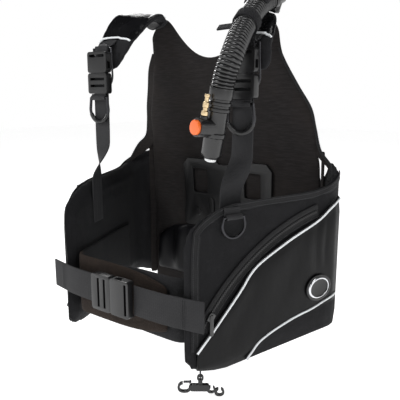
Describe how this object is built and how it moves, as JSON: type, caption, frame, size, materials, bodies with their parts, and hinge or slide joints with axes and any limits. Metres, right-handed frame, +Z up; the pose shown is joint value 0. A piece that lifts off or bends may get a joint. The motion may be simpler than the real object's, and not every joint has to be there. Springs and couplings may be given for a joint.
{
  "type": "buoyancy compensator vest",
  "caption": "Jacket-style diving buoyancy vest with tank band, shoulder pads, cummerbund, waist belt, release buckles, corrugated inflator hose, zip pockets and rings.",
  "frame": {"origin": "middle of the tank pad's rear face, where the tank's wall rests", "axes": "+X to the wearer's left, +Y to the rear and out of the tank pad's face, +Z up"},
  "size_m": [0.5103, 0.5686, 0.6438],
  "materials": {
    "shell_fabric": "coarse woven nylon, matt",
    "lining_fabric": "fine horizontal weave, matt",
    "pocket_vinyl": "coated cloth, glossy, softly creased",
    "zip_tape": "woven tape with moulded teeth",
    "zip_metal": "black enamel",
    "badge_metal": "satin rim round a dark field",
    "steel_rings": "polished stainless",
    "webbing": "flat woven belt, slight sheen",
    "plate_plastic": "moulded, semi-gloss",
    "pad_vinyl": "coated cloth, glossy",
    "grip_rubber": "ribbed, matt",
    "cummerbund_grey": "stretch laminate, matt",
    "cummerbund_brown": "stretch laminate, matt",
    "buckle_plastic": "moulded acetal, semi-gloss",
    "valve_plastic": "moulded, fine grain",
    "hose_rubber": "corrugated, satin",
    "cover_fabric": "woven nylon with bound edge",
    "button_orange": "moulded, glossy",
    "button_white": "moulded, satin",
    "nipple_metal": "nickel over brass",
    "clip_plastic": "moulded nylon",
    "gate_metal": "spring wire"
  },
  "bodies": {
    "vest": {"left_lobe": "shell_fabric", "right_lobe": "shell_fabric", "back_air_cell": "shell_fabric", "back_panel": "lining_fabric", "left_pocket": "pocket_vinyl", "right_pocket": "pocket_vinyl", "left_zip_chain": "zip_tape", "right_zip_chain": "zip_tape", "left_badge": "badge_metal", "left_edge_ring": "steel_rings", "right_edge_ring": "steel_rings", "left_lobe_ring_tab": "webbing", "right_lobe_ring_tab": "webbing", "tank_band": "webbing", "grab_handle": "webbing", "left_belt": "webbing", "right_belt": "webbing", "left_shoulder_strap": "webbing", "right_shoulder_strap": "webbing", "left_shoulder_tab": "webbing", "right_shoulder_tab": "webbing", "clip_loop": "webbing", "backplate": "plate_plastic", "left_shoulder_pad": "pad_vinyl", "right_shoulder_pad": "pad_vinyl", "lumbar_pad": "pad_vinyl", "tank_pad": "grip_rubber", "left_cummerbund": "cummerbund_grey", "right_cummerbund": "cummerbund_brown", "waist_buckle_female": "buckle_plastic", "left_shoulder_buckle_female": "buckle_plastic", "right_shoulder_buckle_female": "buckle_plastic", "cam_base": "buckle_plastic", "dump_valve": "valve_plastic", "shoulder_elbow": "valve_plastic", "hose_upper": "hose_rubber", "hose_keeper": "cover_fabric", "elbow_cover": "cover_fabric"},
    "waist_insert": {"waist_buckle_male": "buckle_plastic"},
    "left_shoulder_insert": {"left_shoulder_buckle_male": "buckle_plastic", "left_shoulder_tail": "webbing"},
    "right_shoulder_insert": {"right_shoulder_buckle_male": "buckle_plastic", "right_shoulder_tail": "webbing"},
    "left_pull": {"left_pull_ring": "steel_rings"},
    "right_pull": {"right_pull_ring": "steel_rings"},
    "left_chest_ring": {"left_lobe_ring": "steel_rings"},
    "right_chest_ring": {"right_lobe_ring": "steel_rings"},
    "left_slider": {"left_zip_slider": "zip_metal"},
    "right_slider": {"right_zip_slider": "zip_metal"},
    "band_lever": {"cam_lever": "buckle_plastic"},
    "inflator": {"hose_lower": "hose_rubber", "inflator_body": "valve_plastic", "inflator_nipple": "nipple_metal"},
    "inflate_key": {"inflate_button": "button_orange"},
    "deflate_key": {"deflate_button": "button_white"},
    "dump_pull": {"dump_knob": "valve_plastic"},
    "gear_clip": {"clip_body": "clip_plastic"},
    "gear_clip_gate": {"clip_gate": "gate_metal"}
  },
  "joints": [
    {"name": "waist_buckle_release", "type": "slide", "parent": "vest", "child": "waist_insert", "axis": [-1, 0, 0], "range_m": [0, 0.032]},
    {"name": "left_shoulder_buckle_release", "type": "slide", "parent": "vest", "child": "left_shoulder_insert", "axis": [0, 0, -1], "range_m": [0, 0.028]},
    {"name": "right_shoulder_buckle_release", "type": "slide", "parent": "vest", "child": "right_shoulder_insert", "axis": [0, 0, -1], "range_m": [0, 0.028]},
    {"name": "left_pull_ring_swing", "type": "hinge", "parent": "left_shoulder_insert", "child": "left_pull", "pos_m": [0.158, -0.2397, 0.2136], "axis": [-1, 0, 0], "range_deg": [0, 20]},
    {"name": "right_pull_ring_swing", "type": "hinge", "parent": "right_shoulder_insert", "child": "right_pull", "pos_m": [-0.158, -0.2397, 0.2216], "axis": [-1, 0, 0], "range_deg": [0, 100]},
    {"name": "left_chest_ring_swing", "type": "hinge", "parent": "vest", "child": "left_chest_ring", "pos_m": [0.17644, -0.28227, 0.048], "axis": [-0.3806, -0.9248, 0], "range_deg": [0, 100]},
    {"name": "right_chest_ring_swing", "type": "hinge", "parent": "vest", "child": "right_chest_ring", "pos_m": [-0.17644, -0.28227, 0.048], "axis": [-0.3806, 0.9248, 0], "range_deg": [0, 100]},
    {"name": "left_zip_run", "type": "hinge", "parent": "vest", "child": "left_slider", "pos_m": [0.26775, -0.04515, -0.3115], "axis": [-0.9248, 0.3806, 0], "range_deg": [0, 38]},
    {"name": "right_zip_run", "type": "hinge", "parent": "vest", "child": "right_slider", "pos_m": [-0.26775, -0.04515, -0.3115], "axis": [-0.9248, -0.3806, 0], "range_deg": [0, 38]},
    {"name": "band_lever_swing", "type": "hinge", "parent": "vest", "child": "band_lever", "pos_m": [0.06722, 0.16896, 0], "axis": [0, 0, -1], "range_deg": [0, 110]},
    {"name": "hose_bend", "type": "hinge", "parent": "vest", "child": "inflator", "pos_m": [0.16196, -0.25797, 0.33114], "axis": [-0.9888, -0.1151, -0.0952], "range_deg": [0, 35]},
    {"name": "inflate_press", "type": "slide", "parent": "inflator", "child": "inflate_key", "axis": [0.2869, 0.9563, -0.0565], "range_m": [0, 0.0035], "stiffness_N_per_m": 1200},
    {"name": "deflate_press", "type": "slide", "parent": "inflator", "child": "deflate_key", "axis": [0.1933, 0, 0.9811], "range_m": [0, 0.004], "stiffness_N_per_m": 1200},
    {"name": "dump_pull_out", "type": "slide", "parent": "vest", "child": "dump_pull", "axis": [0, 1, 0], "range_m": [0, 0.007], "stiffness_N_per_m": 900},
    {"name": "gear_clip_swing", "type": "hinge", "parent": "vest", "child": "gear_clip", "pos_m": [0.14374, -0.3218, -0.20747], "axis": [0.6091, -0.7931, 0], "range_deg": [-25, 25]},
    {"name": "gear_clip_gate_open", "type": "hinge", "parent": "gear_clip", "child": "gear_clip_gate", "pos_m": [0.13137, -0.3313, -0.21437], "axis": [0.6091, -0.7931, 0], "range_deg": [0, 20], "stiffness_Nm_per_rad": 0.05}
  ]
}
